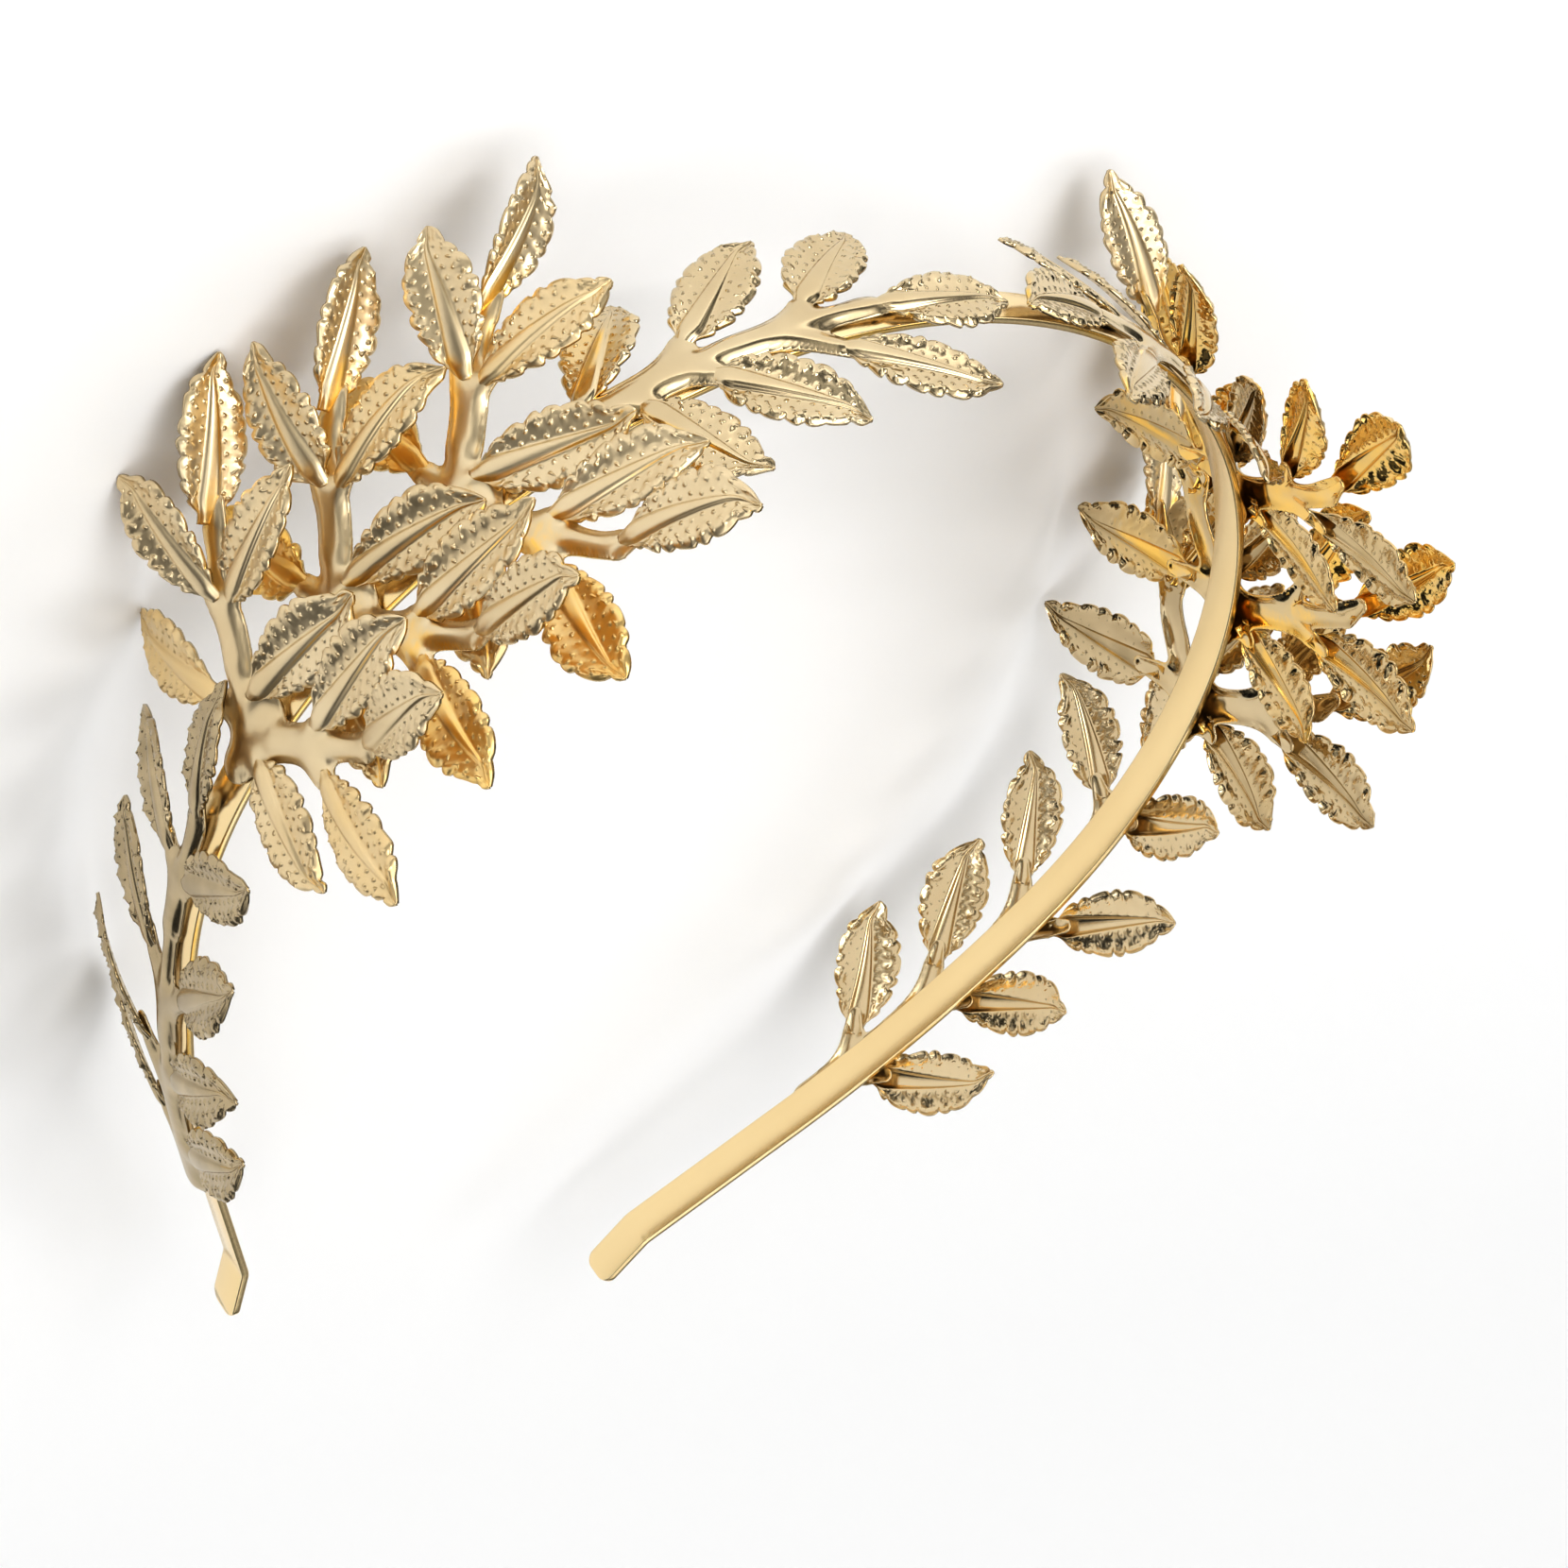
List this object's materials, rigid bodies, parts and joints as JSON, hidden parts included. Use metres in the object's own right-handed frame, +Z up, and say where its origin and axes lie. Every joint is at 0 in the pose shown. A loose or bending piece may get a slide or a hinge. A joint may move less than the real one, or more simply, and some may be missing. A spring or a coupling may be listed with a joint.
{
  "type": "laurel wreath crown headband",
  "caption": "Gold laurel wreath crown: an open flat metal headband with stamped, toothed leaf sprays along both sides, lying on its back edge.",
  "frame": {"origin": "middle of the box around the crown, on the surface that it lies on", "axes": "+Z up from the surface, towards the wearer's face side; +Y towards the top of the head; +X to the right-hand side of the picture, with the band's open ends towards -Y"},
  "size_m": [0.1448, 0.1427, 0.0567],
  "materials": {
    "band_gold": "polished",
    "leaf_gold": "polished"
  },
  "bodies": {
    "root": {"band": "band_gold", "lower_branch_left": "leaf_gold", "leaf_spray_1_left": "leaf_gold", "leaf_spray_2_left": "leaf_gold", "leaf_spray_3_left": "leaf_gold", "top_branch_left": "leaf_gold", "lower_branch_right": "leaf_gold", "leaf_spray_1_right": "leaf_gold", "leaf_spray_2_right": "leaf_gold", "leaf_spray_3_right": "leaf_gold", "top_branch_right": "leaf_gold"}
  },
  "joints": []
}
